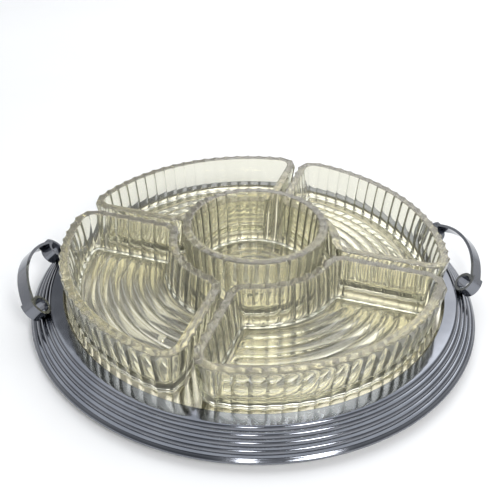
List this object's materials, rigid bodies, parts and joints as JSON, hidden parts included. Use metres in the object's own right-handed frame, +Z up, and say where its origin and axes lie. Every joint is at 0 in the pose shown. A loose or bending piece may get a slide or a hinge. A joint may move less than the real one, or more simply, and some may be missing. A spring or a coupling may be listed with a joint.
{
  "type": "lazy susan turntable",
  "caption": "Ribbed metal serving tray that turns on a ball-bearing base, with loose fluted glass dishes around a glass bowl and curled strap handles.",
  "frame": {"origin": "on the spin axis, at the table surface under the rubber feet", "axes": "+Z up along the spin axis, +X through the right handle, +Y away from the viewer"},
  "size_m": [0.3688, 0.356, 0.069],
  "materials": {
    "chrome": "polished",
    "steel": "zinc plated",
    "ball_steel": "polished",
    "brass": "plain",
    "rubber": "matte",
    "glass": "clear, straw tinted"
  },
  "bodies": {
    "base": {"base_plate": "steel", "rubber_feet": "rubber", "foot_rivets": "steel", "lower_race": "steel", "lower_race_rivets": "steel", "pivot_stud": "steel", "retaining_washer": "steel", "retaining_nut": "steel"},
    "bearing": {"ball_cage": "brass", "bearing_balls": "ball_steel"},
    "turntable": {"upper_race": "steel", "upper_race_rivets": "steel", "stiffener_plate": "steel", "stiffener_rivets": "chrome", "pivot_bushing": "brass", "tray": "chrome", "left_handle": "chrome", "right_handle": "chrome", "left_handle_rivets": "chrome", "right_handle_rivets": "chrome"},
    "dish_back_right_body": {"dish_back_right": "glass"},
    "dish_back_left_body": {"dish_back_left": "glass"},
    "dish_front_left_body": {"dish_front_left": "glass"},
    "dish_front_right_body": {"dish_front_right": "glass"},
    "centre_bowl_body": {"centre_bowl": "glass"}
  },
  "joints": [
    {"name": "turntable_spin", "type": "hinge", "parent": "base", "child": "turntable", "pos_m": [0, 0, 0.0095], "axis": [0, 0, 1], "continuous": true},
    {"name": "bearing_roll", "type": "hinge", "parent": "base", "child": "bearing", "pos_m": [0, 0, 0.0095], "axis": [0, 0, 1], "continuous": true},
    {"name": "dish_back_right_lift", "type": "slide", "parent": "turntable", "child": "dish_back_right_body", "axis": [0, 0, 1], "range_m": [0, 0.06]},
    {"name": "dish_back_left_lift", "type": "slide", "parent": "turntable", "child": "dish_back_left_body", "axis": [0, 0, 1], "range_m": [0, 0.06]},
    {"name": "dish_front_left_lift", "type": "slide", "parent": "turntable", "child": "dish_front_left_body", "axis": [0, 0, 1], "range_m": [0, 0.06]},
    {"name": "dish_front_right_lift", "type": "slide", "parent": "turntable", "child": "dish_front_right_body", "axis": [0, 0, 1], "range_m": [0, 0.06]},
    {"name": "centre_bowl_lift", "type": "slide", "parent": "turntable", "child": "centre_bowl_body", "axis": [0, 0, 1], "range_m": [0, 0.06]}
  ],
  "couplings": [
    {"joint": "bearing_roll", "follows": "turntable_spin", "ratio": 0.5}
  ]
}
